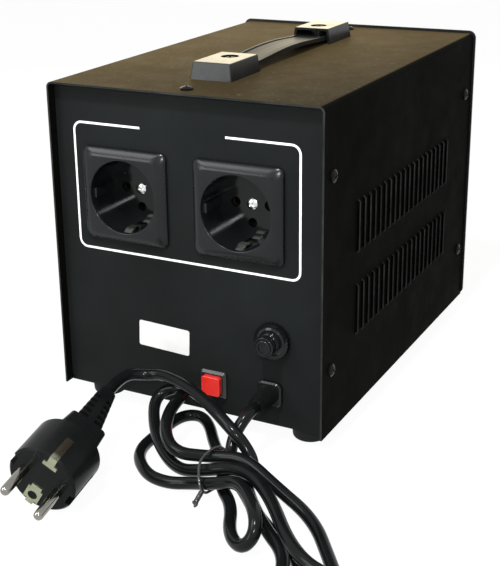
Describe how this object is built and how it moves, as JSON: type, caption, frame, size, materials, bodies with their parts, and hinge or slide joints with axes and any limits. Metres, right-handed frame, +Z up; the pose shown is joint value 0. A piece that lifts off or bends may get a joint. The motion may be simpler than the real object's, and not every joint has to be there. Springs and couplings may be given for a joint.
{
  "type": "voltage stabilizer",
  "caption": "Voltage stabilizer: black louvred steel case on rubber feet, strap handle, two earthed sockets, breaker, delay button and a tied supply lead with its plug.",
  "frame": {"origin": "middle of the footprint of the case with its fittings, on the surface that the feet stand on", "axes": "+Z up; +Y from the rear panel with the sockets to the moulded front; +X to the right when the rear panel is seen from behind"},
  "size_m": [0.2215, 0.3627, 0.1892],
  "materials": {
    "case_paint": "powder_coat",
    "panel_steel": "powder_coat",
    "zinc_sheet": "satin",
    "zinc_screws": "polished",
    "black_plastic": "satin",
    "grey_plastic": "satin",
    "foot_rubber": "matte",
    "cord_pvc": "satin",
    "tie_plastic": "gloss",
    "button_red": "gloss",
    "button_black": "gloss",
    "brass_metal": "satin",
    "spring_steel": "brushed",
    "pin_chrome": "polished",
    "dial_card": "matte",
    "needle_black": "matte",
    "clear_lens": "gloss",
    "lamp_plastic": "gloss",
    "core_iron": "varnished",
    "winding_tape": "satin",
    "board_green": "satin",
    "relay_blue": "satin"
  },
  "bodies": {
    "case": {"cover": "case_paint", "rear_panel": "panel_steel", "front_panel": "zinc_sheet", "chassis_tray": "case_paint", "chassis_rivets": "case_paint", "feet": "foot_rubber", "foot_screws": "zinc_screws", "left_side_screws": "zinc_screws", "right_side_screws": "zinc_screws", "top_screws": "zinc_screws", "front_bezel": "black_plastic", "indicator_lamps": "lamp_plastic", "meter_housing": "black_plastic", "meter_dial": "dial_card", "meter_movement": "black_plastic", "meter_lens": "clear_lens", "switch_body": "black_plastic", "left_socket": "black_plastic", "right_socket": "black_plastic", "left_socket_back": "black_plastic", "right_socket_back": "black_plastic", "left_socket_contacts": "brass_metal", "right_socket_contacts": "brass_metal", "left_earth_clips": "spring_steel", "right_earth_clips": "spring_steel", "socket_screws": "zinc_screws", "delay_button_body": "black_plastic", "breaker_body": "black_plastic", "breaker_nut": "black_plastic", "lead_gland": "black_plastic", "rear_handle_cap": "black_plastic", "front_handle_cap": "black_plastic", "handle_strap": "black_plastic", "handle_screws": "zinc_screws", "transformer_core": "core_iron", "transformer_winding": "winding_tape", "transformer_bracket": "zinc_sheet", "transformer_bolts": "zinc_screws", "control_board": "board_green", "board_posts": "brass_metal", "board_screws": "zinc_screws", "relays": "relay_blue", "capacitors": "black_plastic", "terminal_block": "grey_plastic", "plug_body": "black_plastic", "plug_pins": "pin_chrome", "plug_earth_contacts": "spring_steel", "supply_lead": "cord_pvc", "lead_hank": "cord_pvc", "plug_lead": "cord_pvc", "hank_tie": "tie_plastic"},
    "needle": {"meter_needle": "needle_black"},
    "rocker": {"switch_rocker": "button_black"},
    "delay_cap": {"delay_button_cap": "button_red"},
    "breaker_reset": {"breaker_button": "button_black"}
  },
  "joints": [
    {"name": "needle_turn", "type": "hinge", "parent": "case", "child": "needle", "pos_m": [0, 0.1104, 0.1212], "axis": [0, -1, 0], "range_deg": [0, 90], "stiffness_Nm_per_rad": 0.0002, "springref_deg": -17.19},
    {"name": "switch_tip", "type": "hinge", "parent": "case", "child": "rocker", "pos_m": [-0.044, 0.118, 0.0682], "axis": [1, 0, 0], "range_deg": [0, 20]},
    {"name": "delay_press", "type": "slide", "parent": "case", "child": "delay_cap", "axis": [0, 1, 0], "range_m": [0, 0.003], "stiffness_N_per_m": 300, "springref_m": -0.001},
    {"name": "breaker_press", "type": "slide", "parent": "case", "child": "breaker_reset", "axis": [0, -1, 0], "range_m": [0, 0.003]}
  ]
}
